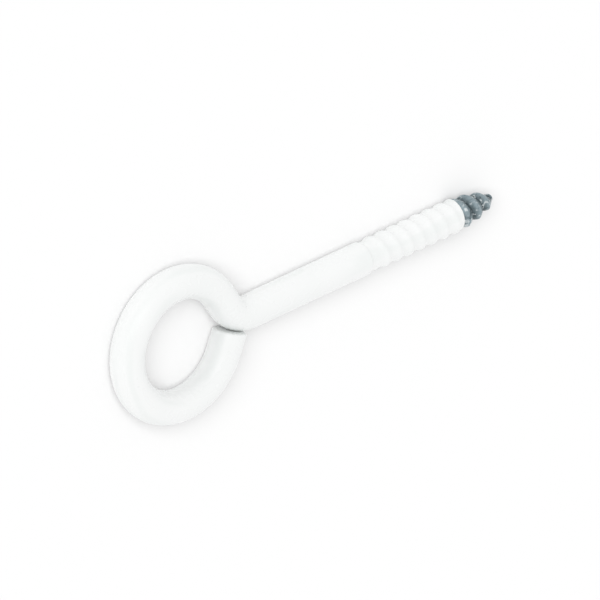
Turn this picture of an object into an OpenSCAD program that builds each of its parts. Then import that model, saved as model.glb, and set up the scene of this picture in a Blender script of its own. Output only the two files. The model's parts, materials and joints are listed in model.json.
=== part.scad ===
// Plastic-coated screw eye, lying flat. A steel wire is bent into an eye at one end and threaded
// to a gimlet point at the other, and a plastic coat covers all of it but the point.
// The eye's centre is the origin, the shank runs along +X and the eye's plane is X-Y.

/* [Wire] */
// Diameter of the bare steel wire
wire_dia = 4.6; // [3.6:0.1:5.6]
// Thickness of the plastic coat over the plain wire
coat_wall = 0.2; // [0.15:0.05:0.4]
// Loss of radius where the wire is stretched round a bend
bend_thinning = 0.01; // [0.005:0.005:0.05]

/* [Eye] */
// Clear width of the eye, inside the coat
eye_bore = 13.8; // [12:0.1:20]
// Angle through which the wire turns at the neck
neck_turn = 62; // [54:1:68]
// Radius of the neck bend, along the middle of the wire
neck_radius = 5; // [3.6:0.1:6]
// Angle below the shank at which the eye's round ends and its straight tail begins
tail_angle = 28; // [22:1:34]
// Gap between the wire's cut end and the neck
eye_gap = 0.2; // [0.1:0.05:0.8]
// Rounding of the coat's rim over the cut end
rim_round = 0.35; // [0.2:0.05:0.6]

/* [Shank] */
// Length of the screw eye from end to end
overall_len = 71.7; // [66:0.1:96]
// Length of the smooth shank, from the neck bend to the thread's shoulder
plain_len = 21.2; // [16:0.1:24]
// Length of the sloping shoulder between the shank and the thread
shoulder_len = 0.35; // [0.3:0.05:0.8]

/* [Thread] */
// Distance between one crest of the thread and the next
thread_pitch = 2.25; // [1.6:0.05:3]
// Height of the steel crests above the plain wire
crest_rise = 0.06; // [0:0.01:0.14]
// Depth of the steel roots below the plain wire
root_depth = 0.43; // [0.3:0.01:0.8]
// Plain length before the thread starts to rise
thread_lead = 1.2; // [0.8:0.1:2]
// Length over which the thread rises to its full height
thread_rise_len = 1.2; // [0.8:0.1:3]
// Angle about the shank at which the first crest begins
thread_angle = 36; // [0:1:359]

/* [Point] */
// Length of the tapered point
point_len = 6.2; // [4:0.1:9]
// Diameter of the blunt end of the point
point_dia = 0.7; // [0.3:0.05:1]
// Length of the steel left bare at the point
bare_len = 7; // [6.4:0.1:12]

/* [Coat over the thread] */
// Thickness of the coat over the steel crests
coat_crest_wall = 0.14; // [0.07:0.01:0.2]
// Thickness of the coat in the steel roots
coat_root_wall = 0.31; // [0.2:0.01:0.5]

/* [Resolution] */
// Flats around one turn of the thread
thread_flats = 32; // [16:4:36]

/* [Hidden] */
$fn = 96;

wire_r = wire_dia / 2;
coat_r = wire_r + coat_wall;

// The eye: its round is centred on the shank's axis
ring_r = eye_bore / 2 + coat_r;
neck_run = neck_radius * tan(neck_turn / 2);
neck_x = ring_r / sin(neck_turn);
shank_x = neck_x + neck_run;
throat_len = ring_r / tan(neck_turn) - neck_run;
// How far the outer corner of two straight legs lies past the point where their axes meet
corner_run = coat_r * tan(neck_turn / 2);
ring_start = 90 - neck_turn;
ring_sweep = 360 - tail_angle - ring_start;

// The tail runs straight on from the round until its coated end is eye_gap from the neck bend
tail_start = ring_r * [cos(tail_angle), -sin(tail_angle)];
tail_heading = [sin(tail_angle), cos(tail_angle)];
neck_centre = [shank_x, neck_radius];
tail_offset = tail_start - neck_centre;
tail_reach = neck_radius + coat_r + eye_gap;
tail_slope = tail_offset * tail_heading;
tail_len = -tail_slope - sqrt(tail_slope ^ 2 - tail_offset * tail_offset + tail_reach ^ 2);

// The thread's shoulder, and places along the thread measured from it
thread_x = shank_x + plain_len;
point_end = overall_len - ring_r - coat_r - thread_x;
point_start = point_end - point_len;
coat_end = point_end - bare_len;
thread_from = shoulder_len / 2;

// Overlap of each straight stretch and the bend that it runs into
bend_lap = 0.1;

// Radii of the steel thread and of the coat over it
crest_r = wire_r + crest_rise;
root_r = wire_r - root_depth;
point_r = point_dia / 2;
shoulder_land = 0.06;

// Fullness of the point: a straight cone has 1 for both
point_bow = 1.37;
point_bluntness = 0.52;
// The thread is never cut deeper than this share of the point's radius
depth_share = 0.45;

// One pitch of each ridge, as pairs of place along the pitch and height, 1 at the crest
steel_ridge = [[0.05, 1], [0.15, 0], [0.85, 0], [0.95, 1]];
coat_rows = 8;
coat_softness = 2.9;
coat_ridge = [for (i = [0:coat_rows - 1]) [i / coat_rows, abs(cos(180 * i / coat_rows)) ^ coat_softness]];

// Radius at the steel crests, which closes in along the point
function crest_at(z) =
    let (t = max(0, (z - point_start) / point_len))
    point_r + (crest_r - point_r) * (1 - min(1, t) ^ point_bow) ^ point_bluntness;

// Height of the ridge at a place along the thread: it rises from the plain neck
function rise_at(z) = min(1, max(0, (z - thread_lead) / thread_rise_len));

function steel_root_at(z) = crest_at(z) - min(crest_r - root_r, depth_share * crest_at(z));

function steel_radius(z, height) =
    steel_root_at(z) + (crest_at(z) - steel_root_at(z)) * height * rise_at(z);

function coat_radius(z, height) =
    let (root = root_r + coat_root_wall)
    root + (crest_r + coat_crest_wall - root) * height * rise_at(z);

// Height of a ridge profile at any phase, in turns
function ridge_height(ridge, phase) =
    let (last = ridge[len(ridge) - 1], first = ridge[0])
    lookup(phase - floor(phase),
           concat([[last[0] - 1, last[1]]], ridge, [[first[0] + 1, first[1]]]));

// A threaded rod along +Z from z_from to z_to. Its rows of points follow the helix, so that
// every crest and root is a clean edge. radius_at(z, height) gives the radius.
module helical_rod(ridge, z_from, z_to, radius_at) {
    rows = len(ridge);
    snap = thread_pitch / rows / 5;
    row_first = rows * (floor(z_from / thread_pitch) - 2);
    row_last = rows * (ceil(z_to / thread_pitch) + 1);
    row_count = row_last - row_first + 1;

    function free_z(row, flat) =
        thread_pitch * (floor(row / rows) + ridge[row - rows * floor(row / rows)][0] + flat / thread_flats);
    function held_z(row, flat) =
        let (z = free_z(row, flat))
        z < z_from + snap ? z_from : z > z_to - snap ? z_to : z;
    // First and last row of each flat that lie on the two end planes
    low_row = [for (flat = [0:thread_flats - 1])
        max([for (row = [row_first:row_last]) if (held_z(row, flat) == z_from) row])];
    high_row = [for (flat = [0:thread_flats - 1])
        min([for (row = [row_first:row_last]) if (held_z(row, flat) == z_to) row])];
    function point_at(row, flat) =
        let (z = held_z(row, flat),
             height = ridge_height(ridge, z / thread_pitch - flat / thread_flats),
             r = radius_at(z, height),
             turn = 360 * flat / thread_flats)
        [r * cos(turn), r * sin(turn), z];
    // The last flat joins the first one, one pitch further on
    function index(row, flat) =
        flat == thread_flats
        ? index(row + rows, 0)
        : flat * row_count + min(high_row[flat], max(low_row[flat], row)) - row_first;

    points = [for (flat = [0:thread_flats - 1], row = [row_first:row_last]) point_at(row, flat)];
    skin = [for (flat = [0:thread_flats - 1], row = [row_first:row_last - 1])
        let (a = index(row, flat), b = index(row + 1, flat),
             c = index(row + 1, flat + 1), d = index(row, flat + 1))
        each [if (a != b && b != c && c != a) [a, b, c],
              if (a != c && c != d && d != a) [a, c, d]]];
    low_cap = [for (flat = [0:thread_flats - 1]) index(low_row[flat], flat)];
    high_cap = [for (flat = [thread_flats - 1:-1:0]) index(high_row[flat], flat)];
    polyhedron(points, concat(skin, [low_cap, high_cap]));
}

// Smooth shank along +Z, with a sloping shoulder that steps it down to the thread's neck
module shank(r, neck_r) {
    rotate_extrude() polygon([
        [0, -bend_lap],
        [r, -bend_lap],
        [r, plain_len],
        [neck_r + shoulder_land, plain_len + shoulder_len],
        [0, plain_len + shoulder_len]
    ]);
}

// Straight tail along +Z, whose cut end has a rounded rim or, with rim 0, a square one
module tail(r, length, rim) {
    rotate_extrude() {
        translate([0, -bend_lap]) square([r - rim, length + bend_lap]);
        translate([0, -bend_lap]) square([r, length + bend_lap - rim]);
        if (rim > 0)
            translate([r - rim, length - rim]) intersection() {
                circle(rim);
                square(rim);
            }
    }
}

// The neck at radius r: two straight legs that thin towards their corner and meet in a crease on
// its inner side, with the outer side rounded to the bend
module neck(r) {
    difference() {
        translate([neck_x, 0, 0])
            for (heading = [0, 180 - neck_turn])
                rotate([0, 90, heading])
                translate([0, 0, -corner_run])
                cylinder(
                    h = corner_run + neck_run + bend_lap,
                    r1 = r - 4 * bend_thinning,
                    r2 = r - bend_thinning
                );
        translate([shank_x, neck_radius, 0])
            rotate_extrude(angle = neck_turn, start = 270 - neck_turn)
            translate([neck_radius, 0])
            difference() {
                translate([0, -2 * r]) square([3 * r, 4 * r]);
                circle(r - 2 * bend_thinning);
            }
    }
}

// The wire at radius r, from its cut end to the thread's shoulder. Straight stretches lap a
// hair's breadth over the bends. neck_r is the thread's root, end_cover is what is left off the
// tail's length, and rim rounds its end.
module bent_wire(r, neck_r, end_cover, rim) {
    translate([shank_x, 0, 0]) rotate([0, 90, 0]) shank(r, neck_r);
    neck(r);
    // Straight throat from the neck to the round
    translate([ring_r * sin(neck_turn), ring_r * cos(neck_turn), 0])
        rotate([0, 90, -neck_turn])
        translate([0, 0, -bend_lap]) cylinder(h = throat_len + 2 * bend_lap, r = r);
    // Round of the eye
    rotate_extrude(angle = ring_sweep, start = ring_start)
        translate([ring_r, 0]) circle(r - bend_thinning);
    // Straight tail to the cut end
    translate([tail_start[0], tail_start[1], 0])
        rotate([0, 90, 90 - tail_angle]) tail(r, tail_len - end_cover, rim);
}

// Places what stands on the thread's axis, with its shoulder at height 0
module on_thread_axis() {
    translate([thread_x, 0, 0]) rotate([0, 90, 0]) rotate([0, 0, thread_angle]) children();
}

module steel_shape() {
    bent_wire(wire_r, root_r, coat_wall, 0);
    on_thread_axis()
        helical_rod(steel_ridge, thread_from, point_end, function (z, height) steel_radius(z, height));
}

module coat_shape() {
    bent_wire(coat_r, root_r + coat_root_wall, 0, rim_round);
    on_thread_axis()
        helical_rod(coat_ridge, thread_from, coat_end, function (z, height) coat_radius(z, height));
}

// Zinc-plated steel: the whole wire, with its thread and point
module steel_screw_eye() {
    color([0.47, 0.52, 0.55]) steel_shape();
}

// White plastic coat, a close sleeve with a closed end over the wire's cut end
module plastic_coat() {
    color([0.95, 0.96, 0.95]) difference() {
        coat_shape();
        steel_shape();
    }
}

steel_screw_eye();
plastic_coat();
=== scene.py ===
import json
import math

import bpy
from mathutils import Matrix, Vector


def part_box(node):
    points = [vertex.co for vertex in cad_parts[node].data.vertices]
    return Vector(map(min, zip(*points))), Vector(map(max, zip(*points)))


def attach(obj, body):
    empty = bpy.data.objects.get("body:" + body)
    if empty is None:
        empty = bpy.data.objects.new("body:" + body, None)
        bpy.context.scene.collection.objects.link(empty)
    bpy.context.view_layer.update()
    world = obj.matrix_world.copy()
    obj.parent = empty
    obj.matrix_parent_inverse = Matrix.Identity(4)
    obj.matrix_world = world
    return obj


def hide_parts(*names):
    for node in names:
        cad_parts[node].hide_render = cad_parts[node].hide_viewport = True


bl_info = {
    "name": "Coated screw eye",
    "version": (1, 0, 0),
    "blender": (4, 5, 0),
    "location": "3D View > Sidebar > Screw Eye",
    "description": "Dresses the packed screw eye with its plated wire, its plastic coat and a pale stage",
    "category": "Add Mesh",
}

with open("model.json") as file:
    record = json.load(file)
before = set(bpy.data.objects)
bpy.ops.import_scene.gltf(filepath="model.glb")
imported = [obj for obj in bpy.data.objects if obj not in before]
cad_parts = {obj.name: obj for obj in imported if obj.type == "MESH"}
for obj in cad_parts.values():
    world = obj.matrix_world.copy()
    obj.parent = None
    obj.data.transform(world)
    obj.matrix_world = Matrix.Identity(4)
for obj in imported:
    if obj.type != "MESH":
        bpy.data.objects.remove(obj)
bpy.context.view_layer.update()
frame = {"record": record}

MM = 0.001
COAT_LOW, COAT_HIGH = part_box("plastic_coat")
STEEL_LOW, STEEL_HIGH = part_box("steel_screw_eye")
MOUNTS = {mount["name"]: mount for mount in frame["record"]["mounts"]}
COAT_RADIUS = MOUNTS["shank"]["dims"]["r_mm"] * MM
# Both boxes start at the far side of the eye, so they differ there by the coat's wall
COAT_WALL = STEEL_LOW.x - COAT_LOW.x


# ---------------------------------------------------------------------------------------------
# Sizes and colours
# ---------------------------------------------------------------------------------------------


def length(name, default, description):
    return bpy.props.FloatProperty(
        name=name, default=default, description=description, unit="LENGTH", precision=5
    )


def share(name, default, description):
    return bpy.props.FloatProperty(name=name, default=default, description=description, min=0, max=1)


def angle(name, degrees, description):
    return bpy.props.FloatProperty(
        name=name, default=math.radians(degrees), description=description, subtype="ANGLE"
    )


def colour(name, default, description):
    return bpy.props.FloatVectorProperty(
        name=name, default=default, description=description, subtype="COLOR", size=3, min=0, max=1
    )


class WireSizes(bpy.types.PropertyGroup):
    """How the wire is bent"""

    coat_radius: length("Coated radius", COAT_RADIUS, "Radius of the coated wire")
    coat_wall: length("Coat wall", COAT_WALL, "Thickness of the coat over the plain wire")
    eye_radius: length(
        "Eye radius", -COAT_LOW.x - COAT_RADIUS, "Radius of the eye, along the middle of the wire"
    )
    neck_turn: angle("Neck turn", 62, "Angle through which the wire turns at the neck")
    neck_radius: length("Neck radius", 5 * MM, "Radius of the neck bend, along the middle of the wire")
    tail_angle: angle("Tail angle", 28, "Angle below the shank at which the round ends")
    cut_tilt: angle("Cut tilt", 6, "Tilt of the cut end, whose side towards the eye is set back")
    end_gap: length("End gap", 0.02 * MM, "Gap between the wire's cut end and the neck")
    rim_round: length("Rim rounding", 0.3 * MM, "Rounding of the coat over the cut end")
    thread_start: length("Thread start", MOUNTS["thread"]["pos_m"][0], "Place of the thread's shoulder")
    shoulder: length("Shoulder", 0.6 * MM, "Length of the sloping shoulder above the thread")


class ThreadSizes(bpy.types.PropertyGroup):
    """The wire's thread and its point"""

    pitch: length("Pitch", 2.25 * MM, "Distance between one crest and the next")
    first_crest: length("First crest", 0.3375 * MM, "Place of a crest on the +Y side, from the shoulder")
    steel_crest: length("Steel crest", 2.36 * MM, "Radius at the steel crests")
    steel_root: length("Steel root", 1.77 * MM, "Radius at the steel roots")
    fullness: bpy.props.FloatProperty(
        name="Fullness", default=1.3, description="Fullness of the steel ridges, where 1 is sharp", min=1
    )
    coat_crest: length("Coated crest", 2.5 * MM, "Radius of the coat over the crests")
    coat_root: length("Coated root", 2.22 * MM, "Radius of the coat over the roots")
    rise_start: length("Rise start", 1.2 * MM, "Where the thread starts to rise, from the shoulder")
    rise_length: length("Rise length", 1.2 * MM, "Length over which the thread rises")
    coat_end: length("Coat end", COAT_HIGH.x, "Place where the coat ends")
    point_end: length("Point end", STEEL_HIGH.x, "Place where the point ends")
    point_length: length("Point length", 6.2 * MM, "Length of the tapered point")
    point_radius: length("Point radius", 0.35 * MM, "Radius of the blunt end of the point")


class Finishes(bpy.types.PropertyGroup):
    """Colours of the coat and the plating"""

    coat: colour("Coat", (0.926, 0.936, 0.932), "White of the plastic coat")
    # Painted reflection: this greyer white also paints faint darker streaks along the wire that stand for
    # reflections, besides the duller patches
    coat_grey_and_painted_streak: colour("Coat shade", (0.878, 0.9, 0.891), "Slightly greyer white of the duller patches")
    zinc: colour("Zinc", (0.29, 0.36, 0.39), "Colour of the zinc plating")
    # Painted shade: this dark zinc paints the shade in the roots of the thread, and also the random dull
    # pits
    zinc_dull_and_painted_root_shade: colour("Dark zinc", (0.07, 0.095, 0.105), "Dull plating in the roots of the thread")
    # Painted highlight: this bright colour paints small glints of light on the rough metal
    painted_glint: colour("Scuffs", (0.70, 0.74, 0.75), "Bright metal where the plating is scuffed")


class StageSettings(bpy.types.PropertyGroup):
    """Floor, light and camera"""

    bearing: angle("Bearing", 141.33, "Angle of the camera about the vertical, from the shank's way")
    height: angle("Height", 43.46, "Angle of the camera above the floor")
    roll: angle("Roll", 114.27, "Turn of the camera about its own line of sight")
    focal: bpy.props.FloatProperty(name="Focal length", default=1500, description="Camera lens, in mm")
    distance: length("Distance", 3537 * MM, "Distance of the camera from the eye")
    aside: length("Aside", 17.373 * MM, "How far right of the eye's centre the camera looks")
    above: length("Above", 6.304 * MM, "How far above the eye's centre the camera looks")
    sky: share("Sky", 0.91, "Level of the even light from all round, of which 1 is white")
    key: share("Key", 0.09, "Level of the soft lamp behind the camera")
    shadow_key: share("Shadow key", 0.9, "Level of the lamp that lights the floor alone, for its shadow")
    lamp_width: angle("Lamp width", 42, "How wide the lamps look from the object")
    shadow: share("Shadow", 0.75, "Strength of the object's shadow on the floor")


# ---------------------------------------------------------------------------------------------
# Node trees
# ---------------------------------------------------------------------------------------------


class Number:
    """A number in a node tree. Arithmetic on it adds Math nodes."""

    def __init__(self, tree, socket):
        self.tree = tree
        self.socket = socket

    def math(self, operation, *values):
        return self.tree.number("ShaderNodeMath", {"operation": operation}, dict(enumerate(values)))

    def __add__(self, other):
        return self.math("ADD", self, other)

    def __radd__(self, other):
        return self.math("ADD", other, self)

    def __sub__(self, other):
        return self.math("SUBTRACT", self, other)

    def __rsub__(self, other):
        return self.math("SUBTRACT", other, self)

    def __mul__(self, other):
        return self.math("MULTIPLY", self, other)

    def __rmul__(self, other):
        return self.math("MULTIPLY", other, self)

    def __truediv__(self, other):
        return self.math("DIVIDE", self, other)

    def __rtruediv__(self, other):
        return self.math("DIVIDE", other, self)

    def __pow__(self, other):
        return self.math("POWER", self, other)

    def __gt__(self, other):
        return self.math("GREATER_THAN", self, other)

    def __lt__(self, other):
        return self.math("LESS_THAN", self, other)

    def __abs__(self):
        return self.math("ABSOLUTE", self)

    def at_least(self, other):
        return self.math("MAXIMUM", self, other)

    def at_most(self, other):
        return self.math("MINIMUM", self, other)

    def floor(self):
        return self.math("FLOOR", self)

    def ceil(self):
        return self.math("CEIL", self)

    def fraction(self):
        return self.math("FRACT", self)

    def cos(self):
        return self.math("COSINE", self)

    def sin(self):
        return self.math("SINE", self)

    def smooth(self):
        """An S-curve from 0 to 1."""
        held = self.at_least(0).at_most(1)
        return held * held * (3 - 2 * held)


class Tree:
    """Adds nodes to a shader or geometry tree."""

    def __init__(self, nodes):
        self.nodes = nodes

    def node(self, kind, settings=None, sockets=None):
        """A new node with its settings, and with a value or a link for each named socket."""
        made = self.nodes.nodes.new(kind)
        for name, value in (settings or {}).items():
            setattr(made, name, value)
        for name, value in (sockets or {}).items():
            self.fill(made.inputs[name], value)
        return made

    def fill(self, socket, value):
        """Links a socket to what feeds it, or gives it a constant."""
        source = value.socket if isinstance(value, Number) else value
        if isinstance(source, bpy.types.NodeSocket):
            self.nodes.links.new(source, socket)
        else:
            socket.default_value = source

    def number(self, kind, settings=None, sockets=None, output=0):
        return Number(self, self.node(kind, settings, sockets).outputs[output])

    def vector(self, x, y, z):
        return self.node("ShaderNodeCombineXYZ", None, {"X": x, "Y": y, "Z": z}).outputs[0]

    def parts(self, vector):
        split = self.node("ShaderNodeSeparateXYZ", None, {"Vector": vector})
        return [Number(self, out) for out in split.outputs]


# ---------------------------------------------------------------------------------------------
# The bent wire
# ---------------------------------------------------------------------------------------------


# How finely the wire's path is divided
FACE_RINGS = (0, 0.35, 0.7, 0.92)
RIM_STEPS = 8
TAIL_STEPS = 10
EYE_STEPS = 120
THROAT_STEP = 0.4 * MM
NECK_STEPS = 62
SHANK_STEPS = 44
SHOULDER_STEPS = 8
# Sides of the round wire
FLATS = 96
# Rows of faces from one root to the next, and how much they crowd together at the steel's crest
STEEL_ROWS = 36
COAT_ROWS = 20
BORE_ROWS = 16
CREST_CROWD = 0.6
# Rings of faces on the flat end of the point and on the coat's end face
POINT_RINGS = 8
COAT_END_RINGS = 6
# Points closer together than this are one
WELD = 0.002 * MM
# Rounding of the steel's cut end, under the coat
STEEL_RIM = 0.05 * MM


def steps(count, first=1):
    """Even steps up to 1, from 1 / count or from 0."""
    return [step / count for step in range(first, count + 1)]


def wire_path(sizes, radius, root, end_cover, rim):
    """Stations along the wire's middle line, from its cut end to the thread's neck. Each has a
    place, a sideways direction, the radius there, the share of it left on the neck's inner side
    and the place along X of the wire if it were straightened out from the thread."""
    eye, turn, bend, tail = sizes.eye_radius, sizes.neck_turn, sizes.neck_radius, sizes.tail_angle
    rows = []

    def row(place, heading, size, inner=1.0, tilt=0.0):
        way = Vector((math.cos(heading), math.sin(heading), 0))
        side = Vector((-way.y, way.x, 0)) - way * math.tan(tilt)
        rows.append((Vector((*place, 0)), side, size, inner))

    def polar(centre, distance, bearing):
        return (centre[0] + distance * math.cos(bearing), centre[1] + distance * math.sin(bearing))

    # The neck bend's run on each side of the corner, and the shank's start
    run = bend * math.tan(turn / 2)
    shank_start = eye / math.sin(turn) + run
    neck_centre = (shank_start, bend)

    # The tail runs straight on from the round until its cut end is end_gap from the neck bend
    tail_start = polar((0, 0), eye, -tail)
    tail_way = (math.sin(tail), math.cos(tail))
    facing = math.pi / 2 - tail + sizes.cut_tilt
    offset = (tail_start[0] - neck_centre[0], tail_start[1] - neck_centre[1])
    apart = -offset[0] * math.cos(facing) - offset[1] * math.sin(facing)
    reach = bend + sizes.coat_radius + sizes.end_gap + end_cover
    tail_length = (apart - reach) / math.cos(sizes.cut_tilt)

    def tail_row(back, size):
        along = tail_length - back
        place = (tail_start[0] + tail_way[0] * along, tail_start[1] + tail_way[1] * along)
        tilt = sizes.cut_tilt * (1 - back / tail_length)
        row(place, -math.pi / 2 - tail, size, tilt=tilt)

    # Cut end: a flat face with a rounded rim
    for part in FACE_RINGS:
        tail_row(0, (radius - rim) * part)
    for part in steps(RIM_STEPS, first=0):
        lean = math.pi / 2 * part
        tail_row(rim * (1 - math.cos(lean)), radius - rim * (1 - math.sin(lean)))
    for part in steps(TAIL_STEPS)[:-1]:
        tail_row(rim + (tail_length - rim) * part, radius)

    # Round of the eye, clockwise from the tail to the throat
    first, last = -tail, math.pi / 2 - turn - 2 * math.pi
    for part in steps(EYE_STEPS, first=0):
        bearing = first + (last - first) * part
        row(polar((0, 0), eye, bearing), bearing - math.pi / 2, radius)

    # Straight throat, up to the neck bend
    throat = eye / math.tan(turn) - run
    throat_from = polar((0, 0), eye, last)
    heading = last - math.pi / 2
    for part in steps(max(2, math.ceil(throat / THROAT_STEP)))[:-1]:
        row(polar(throat_from, throat * part, heading), heading, radius)

    # Neck bend: its inner side is folded to a crease, as two straight tubes would meet
    for part in steps(NECK_STEPS, first=0):
        bearing = -math.pi / 2 - turn + turn * part
        to_corner = min(part, 1 - part) * turn
        inner = bend - (bend - radius) / math.cos(to_corner)
        row(polar(neck_centre, bend, bearing), bearing + math.pi / 2, radius, inner / radius)

    # Shank and the shoulder that steps down to the thread's neck
    for part in steps(SHANK_STEPS):
        row((shank_start + (sizes.thread_start - shank_start) * part, 0), 0, radius)
    for part in steps(SHOULDER_STEPS):
        drop = part * part * (3 - 2 * part)
        row((sizes.thread_start + sizes.shoulder * part, 0), 0, radius + (root - radius) * drop)

    # Straightened out, the wire ends where its last station is
    straight_x = rows[-1][0].x
    straightened = [straight_x]
    for station, after in zip(reversed(rows[:-1]), reversed(rows)):
        straight_x -= (after[0] - station[0]).length
        straightened.insert(0, straight_x)
    return [(*station, straight_x) for station, straight_x in zip(rows, straightened)]


def path_mesh(name, paths):
    """One mesh whose points are the stations of each path in turn, with their facts as attributes."""
    rows = [row for path in paths for row in path]
    mesh = bpy.data.meshes.new(name)
    mesh.from_pydata([row[0] for row in rows], [], [])
    mesh.attributes.new("side", "FLOAT_VECTOR", "POINT")
    mesh.attributes["side"].data.foreach_set("vector", [part for row in rows for part in row[1]])
    for place, fact in enumerate(("size", "inner", "run"), start=2):
        mesh.attributes.new(fact, "FLOAT", "POINT")
        mesh.attributes[fact].data.foreach_set("value", [row[place] for row in rows])
    return mesh


class WireTree(Tree):
    """A geometry tree that builds the skin of a bent, threaded wire from sheets of points."""

    def __init__(self, name, sizes):
        super().__init__(bpy.data.node_groups.new(name, "GeometryNodeTree"))
        face = self.nodes.interface
        face.new_socket("Geometry", in_out="INPUT", socket_type="NodeSocketGeometry")
        for label in sizes:
            face.new_socket(label, in_out="INPUT", socket_type="NodeSocketFloat")
        face.new_socket("Geometry", in_out="OUTPUT", socket_type="NodeSocketGeometry")
        entry = self.nodes.nodes.new("NodeGroupInput")
        self.path = entry.outputs[0]
        self.sizes = {label: Number(self, entry.outputs[label]) for label in sizes}

    def sheet(self, rows, columns):
        """A grid of faces, with each point's row and column number. Its points are placed later."""
        made = self.node("GeometryNodeMeshGrid", None, {"Vertices X": rows, "Vertices Y": columns})
        index = self.number("GeometryNodeInputIndex")
        row = (index / columns + 0.5 / columns).floor()
        return made.outputs["Mesh"], row, index - row * columns

    def placed(self, sheet, place, ridge, straight):
        """The sheet with its points at a place. It keeps the height of the thread, and where each
        point would be if the wire were straightened out along X."""
        sheet = self.marked(sheet, "ridge", "FLOAT", ridge)
        sheet = self.marked(sheet, "straight", "FLOAT_VECTOR", straight)
        moved = self.node("GeometryNodeSetPosition", None, {"Geometry": sheet, "Position": place})
        return moved.outputs[0]

    def marked(self, sheet, name, kind, value):
        """The sheet with a value kept on each point under that name."""
        stored = self.node(
            "GeometryNodeStoreNamedAttribute",
            {"data_type": kind, "domain": "POINT"},
            {"Geometry": sheet, "Name": name, "Value": value},
        )
        return stored.outputs[0]

    def station(self, name, kind, row):
        """A fact of the path's station with that number."""
        fact = self.node("GeometryNodeInputNamedAttribute", {"data_type": kind}, {"Name": name})
        return self.sampled(fact.outputs[0], kind, row)

    def sampled(self, fact, kind, row):
        """A fact's value at the path's station with that number."""
        taken = self.node(
            "GeometryNodeSampleIndex",
            {"data_type": kind, "domain": "POINT", "clamp": True},
            {"Geometry": self.path, "Value": fact, "Index": row},
        )
        return taken.outputs[0]

    def swept(self, first, count):
        """The skin round the path's stations from number first on."""
        sheet, row, column = self.sheet(count, FLATS + 1)
        spot = row + first
        turn = column * (-math.tau / FLATS)
        position = self.node("GeometryNodeInputPosition").outputs[0]
        x, y, _ = self.parts(self.sampled(position, "FLOAT_VECTOR", spot))
        side_x, side_y, _ = self.parts(self.station("side", "FLOAT_VECTOR", spot))
        size = Number(self, self.station("size", "FLOAT", spot))
        inner = Number(self, self.station("inner", "FLOAT", spot))
        run = Number(self, self.station("run", "FLOAT", spot))
        across = turn.cos() * size
        # The half towards the middle of the neck bend is folded in
        across = across * (1 - (1 - inner) * (across > 0))
        up = turn.sin() * size
        place = self.vector(x + side_x * across, y + side_y * across, up)
        return self.placed(sheet, place, 0.0, self.vector(run, across, up))

    def threaded(self, radius_at, rows, low, high, crowd=0.0):
        """The skin of the thread between two places along it. Its rows follow the helix, so that
        crests and roots are clean lines. crowd brings the rows closer together at the crest.
        radius_at gives the radius and the ridge's height at a place along the thread, from that
        place and from how many pitches it is past a crest."""
        pitch, first = self.sizes["Pitch"], self.sizes["First crest"]
        before = ((low - first) / pitch).floor() - 1
        turns = ((high - first) / pitch).ceil() - before + 1
        sheet, station, row = self.sheet(turns * FLATS + 1, rows + 1)
        part = row / rows
        if crowd:
            part = part - (part * math.tau).sin() * (crowd / math.tau)
        turned = station / FLATS
        free = first + (turned + part + before) * pitch
        # What is past an end, or within a fifth of a row of it, is held at that end
        snap = pitch / (rows * 5)
        held = low + (free - low) * (free > low + snap)
        held = high - (high - held) * (held < high - snap)
        phase = (held - first) / pitch - turned
        radius, height = radius_at(held, phase)
        return self.on_axis(sheet, held, turned * math.tau, radius, height)

    def on_axis(self, sheet, along, turn, radius, height):
        """The sheet round the thread's axis."""
        place = self.vector(self.sizes["Thread start"] + along, turn.cos() * radius, turn.sin() * radius)
        return self.placed(sheet, place, height, place)

    def finish(self, sheets, material):
        """Joins the sheets, welds their edges and gives them their material."""
        joined = self.nodes.nodes.new("GeometryNodeJoinGeometry")
        for sheet in sheets:
            self.nodes.links.new(sheet, joined.inputs[0])
        welded = self.node(
            "GeometryNodeMergeByDistance", None, {"Geometry": joined.outputs[0], "Distance": WELD}
        )
        smooth = self.node("GeometryNodeSetShadeSmooth", None, {"Geometry": welded.outputs[0]})
        real = self.node("GeometryNodeRealizeInstances", None, {"Geometry": smooth.outputs[0]})
        painted = self.node(
            "GeometryNodeSetMaterial", None, {"Geometry": real.outputs[0], "Material": material}
        )
        leave = self.nodes.nodes.new("NodeGroupOutput")
        self.nodes.links.new(painted.outputs[0], leave.inputs[0])


def distance_to_crest(phase):
    """How far along the pitch the nearest crest is, in pitches."""
    return abs((phase + 0.5).fraction() - 0.5)


def rising(tree, along):
    """How far the thread has risen from the plain neck, from 0 to 1."""
    return ((along - tree.sizes["Rise start"]) / tree.sizes["Rise length"]).at_least(0).at_most(1)


def steel_profile(tree):
    """Radius of the steel thread and its point."""
    size = tree.sizes
    # The point's outline bows out, ends blunt, and its ridges get lower where it is thin
    bow, bluntness, depth_share = 1.37, 0.52, 0.45

    def radius_at(along, phase):
        start = size["Point end"] - size["Point length"]
        taper = ((along - start) / size["Point length"]).at_least(0).at_most(1)
        fullness = (1 - taper**bow).at_least(0) ** bluntness
        crest = size["Point radius"] + (size["Steel crest"] - size["Point radius"]) * fullness
        root = crest - (size["Steel crest"] - size["Steel root"]).at_most(crest * depth_share)
        height = (1 - (distance_to_crest(phase) * 2) ** size["Fullness"]) * rising(tree, along)
        return root + (crest - root) * height, height

    return radius_at


def coat_profile(tree):
    """Radius of the coat over the thread, which softens every ridge."""
    size = tree.sizes
    softness = 2.9

    def radius_at(along, phase):
        height = abs((phase * math.pi).cos()) ** softness * rising(tree, along)
        return size["Coated root"] + (size["Coated crest"] - size["Coated root"]) * height, height

    return radius_at


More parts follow.
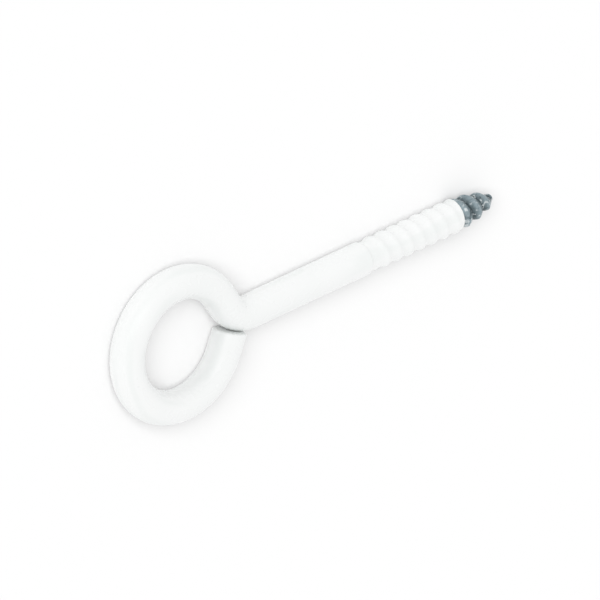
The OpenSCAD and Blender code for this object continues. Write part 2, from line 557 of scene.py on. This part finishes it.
def new_piece(name, mesh, tree, values):
    """An object whose mesh is what the tree makes of the given one. The modifier is gone at the end."""
    raw = bpy.data.objects.new(name, mesh)
    bpy.context.scene.collection.objects.link(raw)
    modifier = raw.modifiers.new(tree.nodes.name, "NODES")
    modifier.node_group = tree.nodes
    for item in tree.nodes.interface.items_tree:
        if item.in_out == "INPUT" and item.name in values:
            modifier[item.identifier] = values[item.name]
    depsgraph = bpy.context.evaluated_depsgraph_get()
    made = bpy.data.meshes.new_from_object(raw.evaluated_get(depsgraph))
    bpy.data.objects.remove(raw)
    if not made.polygons:
        raise RuntimeError(f"{name} came out empty")
    drop_empty_slots(made)
    piece = bpy.data.objects.new(name, made)
    bpy.context.scene.collection.objects.link(piece)
    made.name = name
    return piece


def drop_empty_slots(mesh):
    """Leaves the mesh the one material that its faces use."""
    material = next(item for item in mesh.materials if item)
    mesh.materials.clear()
    mesh.materials.append(material)
    mesh.polygons.foreach_set("material_index", [0] * len(mesh.polygons))


def thread_values(scene):
    """The thread's sizes under the names of the trees' inputs, measured from the shoulder."""
    wire, thread = scene.wire_sizes, scene.thread_sizes
    return {
        "Pitch": thread.pitch,
        "First crest": thread.first_crest,
        "Thread start": wire.thread_start,
        "Thread from": wire.shoulder,
        "Steel crest": thread.steel_crest,
        "Steel root": thread.steel_root,
        "Fullness": thread.fullness,
        "Coated crest": thread.coat_crest,
        "Coated root": thread.coat_root,
        "Rise start": thread.rise_start,
        "Rise length": thread.rise_length,
        "Coat end": thread.coat_end - wire.thread_start,
        "Point end": thread.point_end - wire.thread_start,
        "Point length": thread.point_length,
        "Point radius": thread.point_radius,
    }


# ---------------------------------------------------------------------------------------------
# Finishes
# ---------------------------------------------------------------------------------------------


class Finish(Tree):
    """A material with one principled shader."""

    def __init__(self, name):
        self.material = bpy.data.materials.new(name)
        self.material.use_nodes = True
        super().__init__(self.material.node_tree)
        self.shader = self.nodes.nodes["Principled BSDF"]
        self.place = self.node("ShaderNodeTexCoord").outputs["Object"]

    def noise(self, size, detail, stretch=(1, 1, 1), distortion=0.0, place=None):
        """Soft noise from 0 to 1, with features of about that size in metres."""
        scaled = self.node("ShaderNodeMapping", None, {"Vector": place or self.place, "Scale": stretch})
        return self.number(
            "ShaderNodeTexNoise",
            None,
            {
                "Vector": scaled.outputs[0],
                "Scale": 1 / size,
                "Detail": detail,
                "Distortion": distortion,
            },
        )

    def mixed(self, factor, first, second):
        """A colour between two others, each of which is a link or plain red, green and blue."""
        # The Mix node's colour sockets are found by number, because its other kinds share their names
        sockets = {0: factor}
        for number, value in ((6, first), (7, second)):
            sockets[number] = value if isinstance(value, bpy.types.NodeSocket) else (*value, 1)
        return self.node("ShaderNodeMix", {"data_type": "RGBA"}, sockets).outputs[2]

    def set(self, name, value):
        """Feeds one of the shader's own sockets."""
        self.fill(self.shader.inputs[name], value)

    def bumps(self, *layers):
        """Raises the surface by each height in turn, given with its depth in metres."""
        normal = None
        for height, depth in layers:
            sockets = {"Height": height, "Distance": depth, "Strength": 1.0}
            if normal:
                sockets["Normal"] = normal
            normal = self.node("ShaderNodeBump", None, sockets).outputs[0]
        self.set("Normal", normal)


def coat_material(colours):
    """White dipped plastic: glossy, with faint darker streaks along the wire that are painted
    reflections, and slightly duller patches.
    """
    paint = Finish("white_plastic_coat")
    along = paint.node("ShaderNodeAttribute", {"attribute_name": "straight"}).outputs["Vector"]
    streak = paint.noise(1.6 * MM, detail=0.6, stretch=(0.16, 1, 1), place=along)
    cloud = paint.noise(7 * MM, detail=1)
    speck = paint.noise(1.2 * MM, detail=1)
    patch = (cloud * 2.6 - 0.8).smooth()
    # Painted reflection: darker streaks along the wire, standing for reflections of darker surroundings
    # in the gloss
    painted_reflection_streak = ((streak - 0.48) * 5).smooth()
    paint.set("Base Color", paint.mixed(patch * 0.3 + painted_reflection_streak * 0.7, colours.coat, colours.coat_grey_and_painted_streak))
    paint.set("Roughness", 0.2 + 0.06 * speck + 0.12 * streak)
    paint.set("IOR", 1.5)
    paint.bumps((cloud, 0.12 * MM), (streak, 0.015 * MM), (speck, 0.006 * MM))
    return paint.material


def zinc_material(colours):
    """Zinc-plated steel: blue-grey, with painted shade in the roots of the thread, painted bright glints
    and marks of rolling.
    """
    plate = Finish("zinc_plated_steel")
    ridge = plate.number("ShaderNodeAttribute", {"attribute_name": "ridge"}, output="Fac")
    cloud = plate.noise(1.2 * MM, detail=4, distortion=0.6)
    grain = plate.noise(0.18 * MM, detail=3)
    marks = plate.noise(0.9 * MM, detail=3, distortion=1.2)
    # Painted shade: lighter on the crests and darker in the roots, where shade falls, with random cloud
    # mixed in
    clear_of_painted_root_shade = (ridge * 0.9 + cloud * 0.8 - 0.35).smooth()
    # Painted highlight: bright glints of light scattered over the metal
    painted_glint = ((marks - 0.54) * 10).smooth()
    pit = ((0.45 - marks) * 6).smooth()
    # Painted shade: dark zinc in the roots and in random pits
    plating_with_painted_shade = plate.mixed(clear_of_painted_root_shade * (1 - pit), colours.zinc_dull_and_painted_root_shade, colours.zinc)
    plate.set("Base Color", plate.mixed(painted_glint * 0.7, plating_with_painted_shade, colours.painted_glint))
    plate.set("Metallic", 0.9)
    plate.set("Roughness", 0.28 + 0.2 * grain + 0.12 * cloud)
    plate.bumps((cloud, 0.14 * MM), (marks, 0.08 * MM), (grain, 0.012 * MM))
    return plate.material


# ---------------------------------------------------------------------------------------------
# Operators
# ---------------------------------------------------------------------------------------------


class SCREWEYE_OT_steel(bpy.types.Operator):
    """Make the plated wire, with its thread and point"""

    bl_idname = "screw_eye.make_steel"
    bl_label = "Plated wire"

    def execute(self, context):
        scene = context.scene
        wire, thread = scene.wire_sizes, scene.thread_sizes
        radius = wire.coat_radius - wire.coat_wall
        path = wire_path(wire, radius, thread.steel_root, wire.coat_wall, STEEL_RIM)
        values = thread_values(scene)
        tree = WireTree("Threaded wire", values)
        size = tree.sizes
        radius_at = steel_profile(tree)
        sheets = [
            tree.swept(0, len(path)),
            tree.threaded(radius_at, STEEL_ROWS, size["Thread from"], size["Point end"], CREST_CROWD),
            turned_over(tree, blunt_end(tree, radius_at)),
        ]
        tree.finish(sheets, zinc_material(scene.finishes))
        piece = new_piece("plated_steel_wire", path_mesh("Wire path", [path]), tree, values)
        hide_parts("steel_screw_eye")
        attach(piece, "root")
        return {"FINISHED"}


def blunt_end(tree, radius_at):
    """The flat end of the point, in rings that crowd towards its edge."""
    sheet, row, column = tree.sheet(POINT_RINGS + 1, FLATS + 1)
    lean = row * (math.pi / 2 / POINT_RINGS)
    turned = column / FLATS
    end = tree.sizes["Point end"]
    phase = (end - tree.sizes["First crest"]) / tree.sizes["Pitch"] - turned
    radius, height = radius_at(end, phase)
    return tree.on_axis(sheet, end, turned * math.tau, radius * lean.cos(), height)


class SCREWEYE_OT_coat(bpy.types.Operator):
    """Make the plastic coat, a sleeve that ends short of the point"""

    bl_idname = "screw_eye.make_coat"
    bl_label = "Plastic coat"

    def execute(self, context):
        scene = context.scene
        wire, thread = scene.wire_sizes, scene.thread_sizes
        clear = 0.01 * MM
        outer = wire_path(wire, wire.coat_radius, thread.coat_root, 0, wire.rim_round)
        wall = wire.coat_wall - clear
        inner = wire_path(wire, wire.coat_radius - wall, thread.steel_root + clear, wall, STEEL_RIM)
        values = thread_values(scene)
        tree = WireTree("Coat over a threaded wire", values)
        size = tree.sizes
        coat_at = coat_profile(tree)
        steel_at = steel_profile(tree)

        def bore_at(along, phase):
            radius, height = steel_at(along, phase)
            return radius + clear, height

        begin, end = size["Thread from"], size["Coat end"]
        sheets = [
            tree.swept(0, len(outer)),
            tree.threaded(coat_at, COAT_ROWS, begin, end),
            turned_over(tree, coat_rim(tree, coat_at, bore_at)),
            turned_over(tree, tree.swept(len(outer), len(inner))),
            turned_over(tree, tree.threaded(bore_at, BORE_ROWS, begin, end, CREST_CROWD)),
        ]
        tree.finish(sheets, coat_material(scene.finishes))
        piece = new_piece("white_plastic_coat", path_mesh("Coat paths", [outer, inner]), tree, values)
        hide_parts("plastic_coat")
        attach(piece, "root")
        return {"FINISHED"}


def turned_over(tree, sheet):
    """The sheet with its faces the other way out."""
    return tree.node("GeometryNodeFlipFaces", None, {"Mesh": sheet}).outputs[0]


def coat_rim(tree, coat_at, bore_at):
    """The coat's end face, from its skin in to its bore."""
    sheet, row, column = tree.sheet(COAT_END_RINGS + 1, FLATS + 1)
    turned = column / FLATS
    end = tree.sizes["Coat end"]
    phase = (end - tree.sizes["First crest"]) / tree.sizes["Pitch"] - turned
    outside, height = coat_at(end, phase)
    inside, _ = bore_at(end, phase)
    radius = outside + (inside - outside) * (row / COAT_END_RINGS)
    return tree.on_axis(sheet, end, turned * math.tau, radius, height)


def seen_directly(tree):
    """1 for what the camera, a reflection or a see-through surface shows, and 0 for light."""
    ray = tree.node("ShaderNodeLightPath")
    kinds = [Number(tree, ray.outputs[f"Is {kind} Ray"]) for kind in ("Camera", "Glossy", "Transmission")]
    return kinds[0].at_least(kinds[1]).at_least(kinds[2])


def floor_material(settings):
    """A floor that is just white under all its lamps, and shows part of the shadow on it."""
    material = bpy.data.materials.new("floor")
    material.use_nodes = True
    tree = Tree(material.node_tree)
    tree.nodes.nodes.clear()
    seen = seen_directly(tree)
    grey = 1 / (settings.sky + settings.key + settings.shadow_key)
    matt = tree.node("ShaderNodeBsdfDiffuse", None, {"Color": (grey, grey, grey, 1)})
    bright = tree.node("ShaderNodeEmission", None, {"Color": (1, 1, 1, 1), "Strength": 1.0})
    share_lit = seen * (1 - settings.shadow)
    mix = tree.node("ShaderNodeMixShader", None, {0: share_lit, 1: matt.outputs[0], 2: bright.outputs[0]})
    tree.node("ShaderNodeOutputMaterial", None, {"Surface": mix.outputs[0]})
    return material


def way_back(settings):
    """The way from the object back to the camera."""
    flat = Vector((math.cos(settings.bearing), math.sin(settings.bearing), 0))
    return flat * math.cos(settings.height) + Vector((0, 0, math.sin(settings.height)))


def far_lamp(name, back, width, level):
    """A broad lamp far back that way, which adds the given level to a white floor."""
    data = bpy.data.lights.new(name, "SUN")
    data.angle = width
    data.energy = level * math.pi / back.z
    made = bpy.data.objects.new(name, data)
    made.location = back
    made.rotation_euler = back.to_track_quat("Z", "Y").to_euler()
    bpy.context.scene.collection.objects.link(made)
    return made


# How far the floor reaches each way, in metres
FLOOR_REACH = 1.5


class SCREWEYE_OT_stage(bpy.types.Operator):
    """Set the pale floor, the soft light and the camera"""

    bl_idname = "screw_eye.set_stage"
    bl_label = "Stage"

    def execute(self, context):
        settings = context.scene.stage_settings
        mesh = bpy.data.meshes.new("floor")
        reach, low = FLOOR_REACH, COAT_LOW.z
        corners = [(-reach, -reach, low), (reach, -reach, low), (reach, reach, low), (-reach, reach, low)]
        mesh.from_pydata(corners, [], [(0, 1, 2, 3)])
        mesh.materials.append(floor_material(settings))
        floor = bpy.data.objects.new("floor", mesh)
        context.scene.collection.objects.link(floor)
        self.camera(context, settings)
        self.light(context, settings, floor)
        context.scene.view_settings.view_transform = "Standard"
        return {"FINISHED"}

    def camera(self, context, settings):
        back = way_back(settings)
        level = Vector((0, 0, 1)).cross(back).normalized()
        right = Matrix.Rotation(settings.roll, 3, back) @ level
        up = back.cross(right)
        data = bpy.data.cameras.new("camera")
        data.lens = settings.focal
        camera = bpy.data.objects.new("camera", data)
        turn = Matrix((right, up, back)).transposed().to_4x4()
        centre = right * settings.aside + up * settings.above
        camera.matrix_world = Matrix.Translation(centre + back * settings.distance) @ turn
        context.scene.collection.objects.link(camera)
        context.scene.camera = camera

    def light(self, context, settings, floor):
        world = bpy.data.worlds.new("light tent")
        context.scene.world = world
        world.use_nodes = True
        tree = Tree(world.node_tree)
        tree.nodes.nodes.clear()
        strength = settings.sky + seen_directly(tree) * (1 - settings.sky)
        sky = tree.node("ShaderNodeBackground", None, {"Color": (1, 1, 1, 1), "Strength": strength})
        tree.node("ShaderNodeOutputWorld", None, {"Surface": sky.outputs[0]})
        back = way_back(settings)
        far_lamp("key", back, settings.lamp_width, settings.key)
        only_floor = bpy.data.collections.new("floor only")
        only_floor.objects.link(floor)
        shadow_key = far_lamp("shadow key", back, settings.lamp_width, settings.shadow_key)
        shadow_key.light_linking.receiver_collection = only_floor


class SCREWEYE_PT_panel(bpy.types.Panel):
    """Lists the pieces of the screw eye"""

    bl_idname = "SCREWEYE_PT_panel"
    bl_label = "Screw Eye"
    bl_space_type = "VIEW_3D"
    bl_region_type = "UI"
    bl_category = "Screw Eye"

    def draw(self, context):
        for operator in (SCREWEYE_OT_steel, SCREWEYE_OT_coat, SCREWEYE_OT_stage):
            self.layout.operator(operator.bl_idname)
        for group in GROUPS:
            box = self.layout.box()
            settings = getattr(context.scene, group)
            for name in settings.bl_rna.properties.keys():
                if name not in ("rna_type", "name"):
                    box.prop(settings, name)


GROUPS = {
    "wire_sizes": WireSizes,
    "thread_sizes": ThreadSizes,
    "finishes": Finishes,
    "stage_settings": StageSettings,
}
OTHER_CLASSES = (SCREWEYE_OT_steel, SCREWEYE_OT_coat, SCREWEYE_OT_stage, SCREWEYE_PT_panel)


def register():
    for name, group in GROUPS.items():
        bpy.utils.register_class(group)
        setattr(bpy.types.Scene, name, bpy.props.PointerProperty(type=group))
    for item in OTHER_CLASSES:
        bpy.utils.register_class(item)


def unregister():
    for item in reversed(OTHER_CLASSES):
        bpy.utils.unregister_class(item)
    for name, group in GROUPS.items():
        delattr(bpy.types.Scene, name)
        bpy.utils.unregister_class(group)


def main():
    register()
    bpy.ops.screw_eye.make_steel()
    bpy.ops.screw_eye.make_coat()
    bpy.ops.screw_eye.set_stage()


if __name__ == "__main__":
    main()
